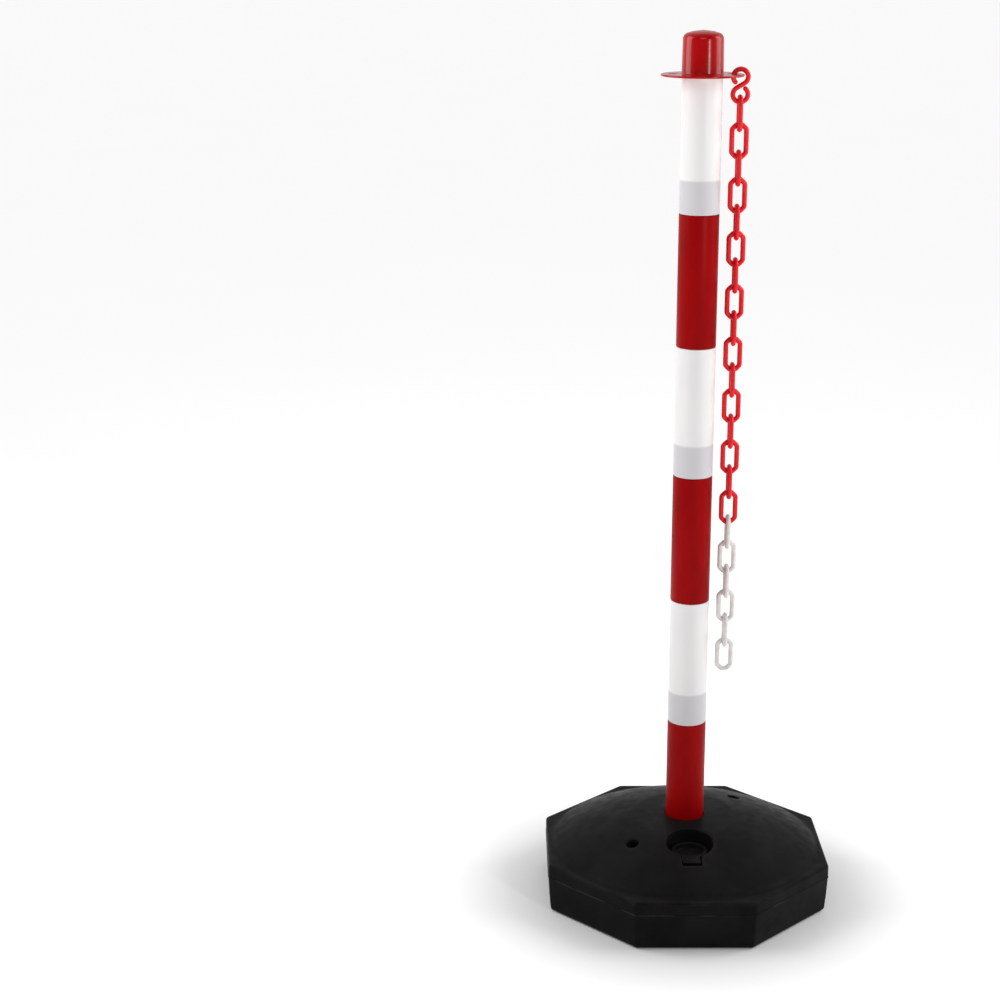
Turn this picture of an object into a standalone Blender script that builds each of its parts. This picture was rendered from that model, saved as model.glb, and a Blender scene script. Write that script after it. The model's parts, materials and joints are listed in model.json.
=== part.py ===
"""Plastic chain stanchion: a hollow octagonal ballast base, a push-fit pole of six striped
segments, a flanged top cap with hook holes, an S-hook and a hanging plastic chain.

Metres, +Z up. The origin is the middle of the base's underside, -Y is the front (the filler's
side) and +X is the side that the chain hangs on.
"""

import math

import bmesh
import bpy
from mathutils import Matrix, Vector

# Clearances between pieces that touch or slide on each other
CLEARANCE = 0.0003
SOCKET_CLEARANCE = 0.0004

# Pole segments: all six are the same moulding
TUBE_DIAMETER = 0.040
TUBE_WALL = 0.002
BAND_LENGTH = 0.133
SPIGOT_LENGTH = 0.033
SEGMENT_COUNT = 6

# Base
BASE_ACROSS_FLATS = 0.292
BASE_WALL = 0.003
BASE_DRAFT = 0.0025
BASE_CORNER_RADIUS = 0.007
BASE_FOOT_ROUND = 0.003
BASE_EDGE_ROUND = 0.0025
RIM_HEIGHT = 0.0525
PARTING_DROP = 0.014
CROWN_HEIGHT = 0.0862
CROWN_RADIUS = 0.054
CROWN_SLOPE = math.radians(3.8)
SKIRT_TOP_SLOPE = math.radians(9)
SKIRT_EDGE_MARGIN = 0.009
SKIRT_EDGE_STEP = 0.0031
SOCKET_DEPTH = 0.0275

# Filler: its neck, its cap, the well round them and the finger notch
FILLER_NECK_RADIUS = 0.0130
FILLER_CAP_LEDGE = 0.006
FILLER_FINGER_ROOM = 0.0055
FILLER_SOCKET_MARGIN = 0.0181
FILLER_WELL_DEPTH = 0.019
FILLER_CAP_HEIGHT = 0.0095
FILLER_PLUG_LENGTH = 0.012
NOTCH_WIDTH = 0.0206
NOTCH_REACH = 0.012
TAB_THICKNESS = 0.003
FINGER_SLOT = 0.005

# Anchor holes, on one diagonal of the base
ANCHOR_DISTANCE = 0.083
ANCHOR_HOLE_RADIUS = 0.0065

# Drain plug, in the back wall on the parting line
DRAIN_HOLE_RADIUS = 0.0045
DRAIN_PLUG_REACH = 0.0095
DRAIN_RIM_RADIUS = 0.0063
DRAIN_RIM_LENGTH = 0.003

# Top cap
CAP_WALL = 0.0025
CAP_CROWN_ROOM = 0.0098
CAP_NIB_HEIGHT = 0.0012
FLANGE_THICKNESS = 0.0022
HOOK_HOLE_MARGIN = 0.0039
HOOK_HOLE_RADIUS = 0.0046
HOOK_HOLE_WEB = 0.0069
HOOK_HOLE_COUNT = 4

# S-hook and chain
HOOK_WIRE = 0.0047
HOOK_LOOP_ROOM = 0.0015
HOOK_NECK = 0.0025
HOOK_DROP = 0.0006
LINK_WIRE = 0.0048
LINK_PITCH = 0.0265
LINK_WIDTH = 0.019
RED_LINKS = 16
WHITE_LINKS = 6

# Facets
TURN_STEPS = 32
SMALL_TURN_STEPS = 24
BASE_POINTS_PER_SIDE = 6
ARC_STEP = math.radians(24)

# Sizes that follow from the driving ones
TUBE_RADIUS = TUBE_DIAMETER / 2
BORE_RADIUS = TUBE_RADIUS - TUBE_WALL
SPIGOT_RADIUS = BORE_RADIUS - CLEARANCE
HALF_FLATS = BASE_ACROSS_FLATS / 2
PARTING_HEIGHT = RIM_HEIGHT - PARTING_DROP
SOCKET_RADIUS = TUBE_RADIUS + SOCKET_CLEARANCE
SKIRT_EDGE_RADIUS = HALF_FLATS - SKIRT_EDGE_MARGIN
SKIRT_SPAN = SKIRT_EDGE_RADIUS - CROWN_RADIUS
SKIRT_DROP = CROWN_HEIGHT - CROWN_RADIUS * math.tan(CROWN_SLOPE) - RIM_HEIGHT - SKIRT_EDGE_STEP
SKIRT_HALF_TURN = math.atan2(SKIRT_DROP, SKIRT_SPAN) - SKIRT_TOP_SLOPE
SKIRT_CURVE_RADIUS = math.hypot(SKIRT_SPAN, SKIRT_DROP) / (2 * math.sin(SKIRT_HALF_TURN))


def top_height(distance):
    """Height of the base's top at a distance from the middle: a nearly flat crown, then a skirt
    that curves down ever more steeply to the rim."""
    inside = min(distance, CROWN_RADIUS)
    height = CROWN_HEIGHT - inside * math.tan(CROWN_SLOPE)
    if distance > CROWN_RADIUS:
        start = math.sin(SKIRT_TOP_SLOPE)
        slope = math.asin(start + (distance - CROWN_RADIUS) / SKIRT_CURVE_RADIUS)
        height -= SKIRT_CURVE_RADIUS * (math.cos(SKIRT_TOP_SLOPE) - math.cos(slope))
    return height


SOCKET_FLOOR = top_height(SOCKET_RADIUS) - SOCKET_DEPTH
POLE_START = SOCKET_FLOOR + CLEARANCE
FLANGE_HEIGHT = POLE_START + SEGMENT_COUNT * BAND_LENGTH
FILLER_CAP_RADIUS = FILLER_NECK_RADIUS + FILLER_CAP_LEDGE
FILLER_WELL_RADIUS = FILLER_CAP_RADIUS + FILLER_FINGER_ROOM
FILLER_DISTANCE = SOCKET_RADIUS + FILLER_SOCKET_MARGIN + FILLER_WELL_RADIUS
WELL_FLOOR = top_height(FILLER_DISTANCE) - FILLER_WELL_DEPTH
NOTCH_END = FILLER_DISTANCE + FILLER_WELL_RADIUS + NOTCH_REACH
TAB_END = NOTCH_END - FINGER_SLOT
TAB_TOP = min(WELL_FLOOR + CLEARANCE + FILLER_CAP_HEIGHT, top_height(TAB_END) - CLEARANCE)
CAP_RADIUS = BORE_RADIUS + CAP_WALL
CAP_HEIGHT = SPIGOT_LENGTH + CAP_CROWN_ROOM
HOOK_HOLE_DISTANCE = CAP_RADIUS + HOOK_HOLE_MARGIN + HOOK_HOLE_RADIUS
FLANGE_RADIUS = HOOK_HOLE_DISTANCE + HOOK_HOLE_RADIUS + HOOK_HOLE_WEB
HOOK_DISTANCE = FLANGE_RADIUS - HOOK_HOLE_WEB / 2
HOOK_TOP_HEIGHT = FLANGE_HEIGHT - HOOK_DROP
HOOK_LOOP_RADIUS = HOOK_HOLE_WEB / 2 + HOOK_WIRE / 2 + HOOK_LOOP_ROOM
HOOK_LOOP_SPACING = 2 * HOOK_LOOP_RADIUS + HOOK_NECK
HOOK_SEAT_HEIGHT = HOOK_TOP_HEIGHT - HOOK_LOOP_SPACING - HOOK_LOOP_RADIUS
LINK_BARS_APART = LINK_PITCH + LINK_WIRE + CLEARANCE


def clear_scene():
    for item in list(bpy.data.objects):
        bpy.data.objects.remove(item, do_unlink=True)


def plastic(name, colour, roughness):
    """A moulded plastic: linear RGB colour, no metal."""
    material = bpy.data.materials.new(name)
    material.use_nodes = True
    shader = material.node_tree.nodes["Principled BSDF"]
    shader.inputs["Base Color"].default_value = (*colour, 1.0)
    shader.inputs["Roughness"].default_value = roughness
    shader.inputs["Metallic"].default_value = 0.0
    return material


def add_object(name, data, place=(0.0, 0.0, 0.0), parent=None):
    """Adds a named object at a world place, under its parent."""
    item = bpy.data.objects.new(name, data)
    bpy.context.collection.objects.link(item)
    item.location = Vector(place)
    if parent is not None:
        item.parent = parent
        item.location = Vector(place) - world_place(parent)
    return item


def world_place(item):
    """World place of an object whose parents are only moved, never turned."""
    place = Vector(item.location)
    while item.parent is not None:
        item = item.parent
        place += item.location
    return place


def mesh_from(name, bm, material, smooth_angle=math.radians(35)):
    """Turns a bmesh into a mesh with its material, shaded smooth between its sharp edges."""
    bmesh.ops.recalc_face_normals(bm, faces=bm.faces)
    mesh = bpy.data.meshes.new(name)
    bm.to_mesh(mesh)
    bm.free()
    mesh.shade_smooth()
    mesh.set_sharp_from_angle(angle=smooth_angle)
    if material is not None:
        mesh.materials.append(material)
    return mesh


def turned(profile, steps, ring=True):
    """A turned shape from (radius, height) points; a ring's profile closes on itself."""
    bm = bmesh.new()
    points = [bm.verts.new((radius, 0.0, height)) for radius, height in profile]
    pairs = list(zip(points, points[1:]))
    if ring:
        pairs.append((points[-1], points[0]))
    edges = [bm.edges.new(pair) for pair in pairs]
    bmesh.ops.spin(
        bm, geom=points + edges, cent=(0, 0, 0), axis=(0, 0, 1), angle=2 * math.pi, steps=steps
    )
    bmesh.ops.remove_doubles(bm, verts=bm.verts, dist=1e-6)
    return bm


def cutter(name, bm, place=(0.0, 0.0, 0.0)):
    """A guide shape for a Boolean, which is not a piece itself."""
    item = add_object(name, mesh_from(name, bm, None), place)
    item.hide_render = True
    item.display_type = "WIRE"
    return item


def cut(target, tool):
    """Cuts the tool's shape out of the target."""
    step = target.modifiers.new("cut_" + tool.name, "BOOLEAN")
    step.operation = "DIFFERENCE"
    step.solver = "EXACT"
    step.object = tool


def cylinder(radius, low, high, steps=SMALL_TURN_STEPS):
    profile = [(0.0, low), (radius, low), (radius, high), (0.0, high)]
    return turned(profile, steps, ring=False)


def box(low, high):
    bm = bmesh.new()
    size = Vector(high) - Vector(low)
    middle = (Vector(high) + Vector(low)) / 2
    bmesh.ops.create_cube(bm, size=1.0, matrix=Matrix.Translation(middle) @ Matrix.Diagonal(size).to_4x4())
    return bm


def octagon_ring(half_flats, height, corner_radius=BASE_CORNER_RADIUS):
    """Points round an octagon with rounded corners, counted from the corner at 22.5 degrees."""
    points = []
    corner_distance = (half_flats - corner_radius) / math.cos(math.pi / 8)
    flat_half = half_flats * math.tan(math.pi / 8) - corner_radius * math.tan(math.pi / 8)
    for side in range(8):
        corner = math.pi / 8 + side * math.pi / 4
        middle = corner_distance * Vector((math.cos(corner), math.sin(corner), 0.0))
        for turn in (-1, 0, 1):
            angle = corner + turn * math.pi / 8
            points.append(middle + corner_radius * Vector((math.cos(angle), math.sin(angle), 0.0)))
        facing = corner + math.pi / 8
        outward = Vector((math.cos(facing), math.sin(facing), 0.0))
        along = Vector((-math.sin(facing), math.cos(facing), 0.0))
        for share in (-0.5, 0.0, 0.5):
            points.append(outward * half_flats + along * flat_half * share)
    return [Vector((point.x, point.y, height)) for point in points]


def circle_ring(radius, height):
    """Points round a circle, matching octagon_ring point for point."""
    count = 8 * BASE_POINTS_PER_SIDE
    start = math.pi / 8 - 2 * math.pi / count
    points = []
    for step in range(count):
        angle = start + 2 * math.pi * step / count
        points.append(Vector((radius * math.cos(angle), radius * math.sin(angle), height)))
    return points


def loft(rings):
    """A closed body through rings of matching points, capped flat at both ends."""
    bm = bmesh.new()
    rows = [[bm.verts.new(point) for point in ring] for ring in rings]
    for lower, upper in zip(rows, rows[1:]):
        for index in range(len(lower)):
            after = (index + 1) % len(lower)
            bm.faces.new((lower[index], lower[after], upper[after], upper[index]))
    bm.faces.new(list(reversed(rows[0])))
    bm.faces.new(rows[-1])
    return bm


def top_rings(inset, radii):
    """Rings on the raised top, or on the surface a wall's thickness below it."""
    return [circle_ring(radius, top_height(radius) - inset) for radius in radii]


def base_outside():
    """The base's outer skin, with the blind socket for the pole."""
    foot = HALF_FLATS - BASE_DRAFT
    rings = [
        octagon_ring(foot - BASE_FOOT_ROUND, 0.0),
        octagon_ring(foot - BASE_FOOT_ROUND * 0.3, BASE_FOOT_ROUND * 0.3),
        octagon_ring(foot, BASE_FOOT_ROUND),
        octagon_ring(HALF_FLATS, PARTING_HEIGHT),
        octagon_ring(HALF_FLATS, RIM_HEIGHT - BASE_EDGE_ROUND),
        octagon_ring(HALF_FLATS - BASE_EDGE_ROUND * 0.3, RIM_HEIGHT - BASE_EDGE_ROUND * 0.3),
        octagon_ring(HALF_FLATS - BASE_EDGE_ROUND, RIM_HEIGHT),
    ]
    radii = [SKIRT_EDGE_RADIUS - SKIRT_SPAN * share for share in (0.0, 0.25, 0.5, 0.75, 1.0)]
    rings += top_rings(0.0, radii + [SOCKET_RADIUS])
    rings.append(circle_ring(SOCKET_RADIUS, SOCKET_FLOOR))
    return loft(rings)


def base_hollow():
    """The ballast space inside the base, one wall inside its skin."""
    side = HALF_FLATS - BASE_DRAFT - BASE_WALL
    inner_corner = BASE_CORNER_RADIUS - BASE_WALL
    edge = SKIRT_EDGE_RADIUS - BASE_WALL
    rings = [
        octagon_ring(side - BASE_FOOT_ROUND, BASE_WALL, inner_corner),
        octagon_ring(side, BASE_WALL + BASE_FOOT_ROUND, inner_corner),
        octagon_ring(side, RIM_HEIGHT - BASE_EDGE_ROUND - BASE_WALL, inner_corner),
    ]
    span = edge - CROWN_RADIUS
    rings += top_rings(BASE_WALL, [edge, edge - span / 3, edge - span * 2 / 3, CROWN_RADIUS, SOCKET_RADIUS])
    return loft(rings)


def anchor_places():
    """The two anchor holes, on the front-left to back-right diagonal."""
    reach = ANCHOR_DISTANCE / math.sqrt(2)
    return [("front", (-reach, -reach, 0.0)), ("back", (reach, reach, 0.0))]


def make_base(material):
    over = CROWN_HEIGHT + BASE_WALL
    under = -BASE_WALL
    filler = (0.0, -FILLER_DISTANCE, 0.0)
    half_notch = NOTCH_WIDTH / 2
    notch_floor = WELL_FLOOR + BASE_WALL / 3

    hollow = cutter("ballast_space", base_hollow())
    wall = BASE_WALL
    cut(hollow, cutter("socket_wall", cylinder(SOCKET_RADIUS + wall, SOCKET_FLOOR - wall, over, TURN_STEPS)))
    cut(hollow, cutter("well_wall", cylinder(FILLER_WELL_RADIUS + wall, WELL_FLOOR - wall, over), filler))
    cut(
        hollow,
        cutter(
            "notch_wall",
            box(
                (-half_notch - wall, -NOTCH_END - wall, notch_floor - wall),
                (half_notch + wall, -FILLER_DISTANCE, over),
            ),
        ),
    )
    for side, place in anchor_places():
        cut(hollow, cutter("anchor_wall_" + side, cylinder(ANCHOR_HOLE_RADIUS + wall, under, over), place))

    well_and_neck = [
        (0.0, WELL_FLOOR - 2 * wall),
        (FILLER_NECK_RADIUS, WELL_FLOOR - 2 * wall),
        (FILLER_NECK_RADIUS, WELL_FLOOR),
        (FILLER_WELL_RADIUS, WELL_FLOOR),
        (FILLER_WELL_RADIUS, over),
        (0.0, over),
    ]
    notch_box = box((-half_notch, -NOTCH_END, notch_floor), (half_notch, -FILLER_DISTANCE, over))
    base = add_object("base", mesh_from("base", base_outside(), material))
    cut(base, hollow)
    cut(base, cutter("well_and_neck", turned(well_and_neck, SMALL_TURN_STEPS, ring=False), filler))
    cut(base, cutter("notch", notch_box))
    for side, place in anchor_places():
        cut(base, cutter("anchor_hole_" + side, cylinder(ANCHOR_HOLE_RADIUS, under, over), place))
    drain = cutter("drain_hole", cylinder(DRAIN_HOLE_RADIUS, -3 * wall, 3 * wall))
    drain.location = (0.0, HALF_FLATS - wall / 2, PARTING_HEIGHT)
    drain.rotation_euler = (math.pi / 2, 0.0, 0.0)
    cut(base, drain)
    return base


def make_filler_cap(material, base):
    """Round push-in cap with a pull tab that runs out over the notch."""
    plug_radius = FILLER_NECK_RADIUS - CLEARANCE
    top = FILLER_CAP_HEIGHT
    dish = FILLER_CAP_RADIUS * 0.8
    plug_bore = plug_radius - TUBE_WALL
    profile = [
        (0.0, top - 0.003),
        (dish, top - 0.003),
        (dish + 0.001, top),
        (FILLER_CAP_RADIUS - 0.0008, top),
        (FILLER_CAP_RADIUS, top - 0.0008),
        (FILLER_CAP_RADIUS, 0.0),
        (plug_radius, 0.0),
        (plug_radius, -FILLER_PLUG_LENGTH + 0.001),
        (plug_radius - 0.001, -FILLER_PLUG_LENGTH),
        (plug_bore, -FILLER_PLUG_LENGTH),
        (plug_bore, top - 0.006),
        (0.0, top - 0.006),
    ]
    seat = WELL_FLOOR + CLEARANCE
    mesh = mesh_from("filler_cap", turned(profile, SMALL_TURN_STEPS, ring=False), material)
    cap = add_object("filler_cap", mesh, (0.0, -FILLER_DISTANCE, seat), base)

    half_tab = NOTCH_WIDTH / 2 - 2 * CLEARANCE
    tab_top = TAB_TOP - seat
    tab_start = -dish - 0.002
    tab_box = box(
        (-half_tab, FILLER_DISTANCE - TAB_END, tab_top - TAB_THICKNESS), (half_tab, tab_start, tab_top)
    )
    tab = cutter("filler_tab", tab_box, (0.0, -FILLER_DISTANCE, seat))
    join = cap.modifiers.new("tab", "BOOLEAN")
    join.operation = "UNION"
    join.solver = "EXACT"
    join.object = tab
    return cap


def make_drain_plug(material, base):
    """Spool-shaped push-in plug for the back wall."""
    shank = DRAIN_HOLE_RADIUS - CLEARANCE
    inside = -BASE_WALL - BASE_DRAFT - 0.002
    rim_start = DRAIN_PLUG_REACH - DRAIN_RIM_LENGTH
    profile = [
        (0.0, inside),
        (shank - 0.001, inside),
        (shank, inside + 0.001),
        (shank, rim_start),
        (DRAIN_RIM_RADIUS - 0.0005, rim_start),
        (DRAIN_RIM_RADIUS, rim_start + 0.0005),
        (DRAIN_RIM_RADIUS, DRAIN_PLUG_REACH - 0.0006),
        (DRAIN_RIM_RADIUS - 0.0006, DRAIN_PLUG_REACH),
        (0.0, DRAIN_PLUG_REACH),
    ]
    mesh = mesh_from("drain_plug", turned(profile, SMALL_TURN_STEPS, ring=False), material)
    plug = add_object("drain_plug", mesh, (0.0, HALF_FLATS, PARTING_HEIGHT), base)
    plug.rotation_euler = (-math.pi / 2, 0.0, 0.0)
    return plug


def segment_mesh(name, material):
    """One pole segment: an open tube with a narrower spigot at its top."""
    shoulder = BAND_LENGTH - CLEARANCE
    tip = shoulder + SPIGOT_LENGTH
    spigot_bore = SPIGOT_RADIUS - TUBE_WALL
    profile = [
        (TUBE_RADIUS, 0.0),
        (TUBE_RADIUS, shoulder - 0.0006),
        (TUBE_RADIUS - 0.0006, shoulder),
        (SPIGOT_RADIUS, shoulder),
        (SPIGOT_RADIUS, tip - 0.001),
        (SPIGOT_RADIUS - 0.0007, tip),
        (spigot_bore, tip),
        (spigot_bore, shoulder - TUBE_WALL),
        (BORE_RADIUS, shoulder - 2.5 * TUBE_WALL),
        (BORE_RADIUS, 0.0),
    ]
    return mesh_from(name, turned(profile, TURN_STEPS), material)


def make_pole(red, white, base):
    """Six segments stacked from the socket up, red at the bottom; returns the top one."""
    meshes = [segment_mesh("segment_red", red), segment_mesh("segment_white", white)]
    below = base
    for index in range(SEGMENT_COUNT):
        place = (0.0, 0.0, POLE_START + index * BAND_LENGTH)
        below = add_object("pole_segment_%d" % (index + 1), meshes[index % 2], place, below)
    return below


def make_top_cap(material, top_segment):
    """Domed cup over the top spigot, with a thin flange pierced for the hooks."""
    outer = CAP_RADIUS
    crown = CAP_HEIGHT
    nib = crown + CAP_NIB_HEIGHT
    ceiling = SPIGOT_LENGTH + 0.002
    rim = FLANGE_THICKNESS
    profile = [
        (0.0, nib),
        (0.0022, nib),
        (0.0030, crown),
        (outer * 0.50, crown - 0.0008),
        (outer * 0.78, crown - 0.0024),
        (outer * 0.93, crown - 0.0045),
        (outer, crown - 0.0075),
        (outer, rim + 0.0016),
        (outer + 0.0005, rim + 0.0005),
        (outer + 0.0016, rim),
        (FLANGE_RADIUS - 0.0006, rim),
        (FLANGE_RADIUS, rim - 0.0006),
        (FLANGE_RADIUS, 0.0005),
        (FLANGE_RADIUS - 0.0005, 0.0),
        (BORE_RADIUS, 0.0),
        (BORE_RADIUS, ceiling),
        (0.0, ceiling),
    ]
    mesh = mesh_from("top_cap", turned(profile, TURN_STEPS, ring=False), material)
    cap = add_object("top_cap", mesh, (0.0, 0.0, FLANGE_HEIGHT), top_segment)
    for index in range(HOOK_HOLE_COUNT):
        angle = 2 * math.pi * index / HOOK_HOLE_COUNT
        place = (
            HOOK_HOLE_DISTANCE * math.cos(angle),
            HOOK_HOLE_DISTANCE * math.sin(angle),
            FLANGE_HEIGHT + FLANGE_THICKNESS / 2,
        )
        hole = cylinder(HOOK_HOLE_RADIUS, -FLANGE_THICKNESS, FLANGE_THICKNESS)
        cut(cap, cutter("hook_hole_%d" % (index + 1), hole, place))
    return cap


def wire(name, points, diameter, material, closed):
    """A round wire through the points, as a curve."""
    curve = bpy.data.curves.new(name, "CURVE")
    curve.dimensions = "3D"
    curve.bevel_depth = diameter / 2
    curve.bevel_resolution = 2
    curve.use_fill_caps = not closed
    spline = curve.splines.new("POLY")
    spline.points.add(len(points) - 1)
    for target, point in zip(spline.points, points):
        target.co = (*point, 1.0)
        target.radius = 1.0
    spline.use_cyclic_u = closed
    curve.materials.append(material)
    return curve


def arc(middle, start, end):
    """Points in the XZ plane along an arc of the hook's loop."""
    count = max(2, round(abs(end - start) / ARC_STEP))
    points = []
    for step in range(count + 1):
        angle = start + (end - start) * step / count
        across = HOOK_LOOP_RADIUS * math.cos(angle)
        up = HOOK_LOOP_RADIUS * math.sin(angle)
        points.append(Vector((middle[0] + across, 0.0, middle[1] + up)))
    return points


def make_hook(material, cap):
    """S-hook in the radial plane. Its origin is the middle of its upper loop."""
    lean = math.acos(2 * HOOK_LOOP_RADIUS / HOOK_LOOP_SPACING)
    upper = arc((0.0, 0.0), math.radians(225), lean - math.pi / 2)
    lower = arc((0.0, -HOOK_LOOP_SPACING), lean + math.pi / 2, math.radians(410))
    curve = wire("s_hook", upper + lower, HOOK_WIRE, material, closed=False)
    return add_object("s_hook", curve, (HOOK_DISTANCE, 0.0, HOOK_TOP_HEIGHT), cap)


def link_points(top, bottom, across):
    """Outline of one link between its bars' heights, in the plane of the across direction."""
    half = LINK_WIDTH / 2 - LINK_WIRE / 2
    corner = [(0.31, 0.0), (0.73, 0.18), (1.0, 0.65)]
    points = []
    for side in (1, -1):
        for share, drop in corner if side > 0 else reversed(corner):
            points.append(across * half * share * side + Vector((0, 0, top - drop * half)))
        if side > 0:
            for share, drop in reversed(corner):
                points.append(across * half * share + Vector((0, 0, bottom + drop * half)))
            for share, drop in corner:
                points.append(-across * half * share + Vector((0, 0, bottom + drop * half)))
    return points


def make_chain(red, white, hook):
    """Links hung one in another. Odd links lie in the YZ plane and turn on the bar above them;
    even links lie in the XZ plane and turn on their own top bar."""
    above = hook
    seat = HOOK_SEAT_HEIGHT
    wire_below = HOOK_WIRE
    for number in range(1, RED_LINKS + WHITE_LINKS + 1):
        top = seat + (wire_below + LINK_WIRE) / 2 + CLEARANCE
        bottom = top - LINK_BARS_APART
        odd = number % 2 == 1
        pivot = seat if odd else top
        across = Vector((0, 1, 0)) if odd else Vector((1, 0, 0))
        material = red if number <= RED_LINKS else white
        name = "chain_link_%02d" % number
        points = link_points(top - pivot, bottom - pivot, across)
        curve = wire(name, points, LINK_WIRE, material, closed=True)
        above = add_object(name, curve, (HOOK_DISTANCE, 0.0, pivot), above)
        seat = bottom
        wire_below = LINK_WIRE


def main():
    clear_scene()
    black = plastic("black_base_plastic", (0.016, 0.015, 0.016), 0.45)
    red = plastic("red_pole_plastic", (0.45, 0.006, 0.010), 0.30)
    white = plastic("white_pole_plastic", (0.86, 0.86, 0.87), 0.35)
    chain_red = plastic("red_chain_plastic", (0.72, 0.014, 0.022), 0.35)
    chain_white = plastic("white_chain_plastic", (0.68, 0.64, 0.62), 0.40)

    base = make_base(black)
    make_filler_cap(black, base)
    make_drain_plug(black, base)
    top_segment = make_pole(red, white, base)
    cap = make_top_cap(red, top_segment)
    hook = make_hook(chain_red, cap)
    make_chain(chain_red, chain_white, hook)


main()
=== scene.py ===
"""The finished look of a plastic chain stanchion: black blow-moulded base, red and white push-fit
pole, red flanged cap, S-hook and hanging chain, on a plain pale floor in soft studio light."""

import json
import math

import bmesh
import bpy
from mathutils import Matrix, Vector
from mathutils.geometry import delaunay_2d_cdt


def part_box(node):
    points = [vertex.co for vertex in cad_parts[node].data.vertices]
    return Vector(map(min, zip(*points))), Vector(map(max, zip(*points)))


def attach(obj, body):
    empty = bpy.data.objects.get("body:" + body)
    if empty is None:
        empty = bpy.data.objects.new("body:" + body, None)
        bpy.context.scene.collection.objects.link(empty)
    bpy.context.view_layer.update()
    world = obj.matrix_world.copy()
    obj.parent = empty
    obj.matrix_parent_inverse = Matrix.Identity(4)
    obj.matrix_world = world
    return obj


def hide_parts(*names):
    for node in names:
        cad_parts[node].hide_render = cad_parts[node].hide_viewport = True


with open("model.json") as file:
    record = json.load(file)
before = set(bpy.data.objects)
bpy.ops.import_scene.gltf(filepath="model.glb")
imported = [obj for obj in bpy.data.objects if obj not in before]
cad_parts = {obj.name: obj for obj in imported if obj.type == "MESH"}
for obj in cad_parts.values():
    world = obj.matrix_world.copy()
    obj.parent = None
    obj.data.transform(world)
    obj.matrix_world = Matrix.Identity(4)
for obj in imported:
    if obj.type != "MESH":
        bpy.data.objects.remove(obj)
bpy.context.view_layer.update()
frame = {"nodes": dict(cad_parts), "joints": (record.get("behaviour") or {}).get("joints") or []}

MM = 0.001
GAP = 0.3 * MM
PLASTIC_IOR = 1.5
SHARP_ANGLE = math.radians(42)
MERGE_DISTANCE = 1e-6

# Base, from the CAD box where it can be read there
HALF_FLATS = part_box("base")[1].x
CORNER_RADIUS = 7 * MM
SHARPEST_CORNER = 0.5 * MM
RIM_HEIGHT = 52.5 * MM
RIM_ROUND = 3 * MM
PARTING_HEIGHT = 38.5 * MM
PARTING_RIDGE = 0.35 * MM
PARTING_HALF_WIDTH = 0.6 * MM
DRAFT = 2.5 * MM
FOOT_ROUND = 5 * MM
WALL = 3 * MM
CROWN_RADIUS = 54 * MM
CROWN_HEIGHT = 86.2 * MM
CROWN_SLOPE = math.radians(3.8)
SKIRT_TOP_SLOPE = math.radians(9)
SKIRT_EDGE_RADIUS = HALF_FLATS - 9 * MM
SKIRT_EDGE_STEP = 3.1 * MM
SKIRT_SPAN = SKIRT_EDGE_RADIUS - CROWN_RADIUS
SKIRT_DROP = CROWN_HEIGHT - CROWN_RADIUS * math.tan(CROWN_SLOPE) - RIM_HEIGHT - SKIRT_EDGE_STEP
SKIRT_HALF_TURN = math.atan2(SKIRT_DROP, SKIRT_SPAN) - SKIRT_TOP_SLOPE
SKIRT_CURVE_RADIUS = math.hypot(SKIRT_SPAN, SKIRT_DROP) / (2 * math.sin(SKIRT_HALF_TURN))
SKIRT_FOOT_WIDTH = 6.5 * MM
CAVITY_CEILING = 50 * MM
GRID_CLEARANCE = 1.6 * MM

# How rubbed each edge of the base is, from 0 to 1; on the parting ridge the paler dashes are painted
# highlight as well as wear
WORN_TOP_EDGE = 0.08
WORN_RIM = 0.14
PARTING_WEAR_AND_HIGHLIGHT = 0.7
PARTING_SIDE_WEAR_AND_HIGHLIGHT = 0.2
WORN_FOOT = 0.1
WORN_LIP_EDGE = 0.12
WORN_LIP = 0.2

# Pole and its socket
TUBE_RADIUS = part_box("pole_segment_1")[1].x
SOCKET_RADIUS = TUBE_RADIUS + 0.4 * MM
SOCKET_LIP = 0.9 * MM
SOCKET_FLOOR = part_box("pole_segment_1")[0].z - GAP
POLE_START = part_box("pole_segment_1")[0].z
BAND_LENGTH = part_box("pole_segment_2")[0].z - POLE_START
TUBE_WALL = 2 * MM
# painted shade on each white segment's lowest part, where the spigot inside keeps light from coming through
# the wall
SPIGOT_PAINTED_SHADE_TOP = 35 * MM
SPIGOT_PAINTED_SHADE_FADE = 3.5 * MM

# Filler, anchor holes and drain
FILLER_DISTANCE = 63 * MM
WELL_RADIUS = 24.5 * MM
WELL_LIP = 1.3 * MM
WELL_FLOOR_ROUND = 1.5 * MM
NECK_RADIUS = 13 * MM
NECK_LIP = 0.5 * MM
NOTCH_HALF_WIDTH = 10.3 * MM
NOTCH_END = FILLER_DISTANCE + WELL_RADIUS + 12 * MM
STOPPER_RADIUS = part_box("filler_cap")[1].x
STOPPER_PLUG_LENGTH = 12 * MM
STOPPER_HEIGHT = 9.5 * MM
STOPPER_RIM_WIDTH = 4.2 * MM
STOPPER_DISH_FLOOR = 4.2 * MM
STOPPER_RIBS = 36
STOPPER_RIB_DEPTH = 0.5 * MM
TAB_THICKNESS = 3 * MM
TAB_SIDE_GAP = 0.8 * MM
STOPPER_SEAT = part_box("filler_cap")[0].z + STOPPER_PLUG_LENGTH
WELL_FLOOR = STOPPER_SEAT - GAP
TAB_END = -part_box("filler_cap")[0].y
ANCHOR_REACH = 83 * MM / math.sqrt(2)
ANCHOR_RADIUS = 6.5 * MM
ANCHOR_LIP = 1 * MM
DRAIN_RADIUS = 4.5 * MM
DRAIN_CUT_REACH = 9 * MM

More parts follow.
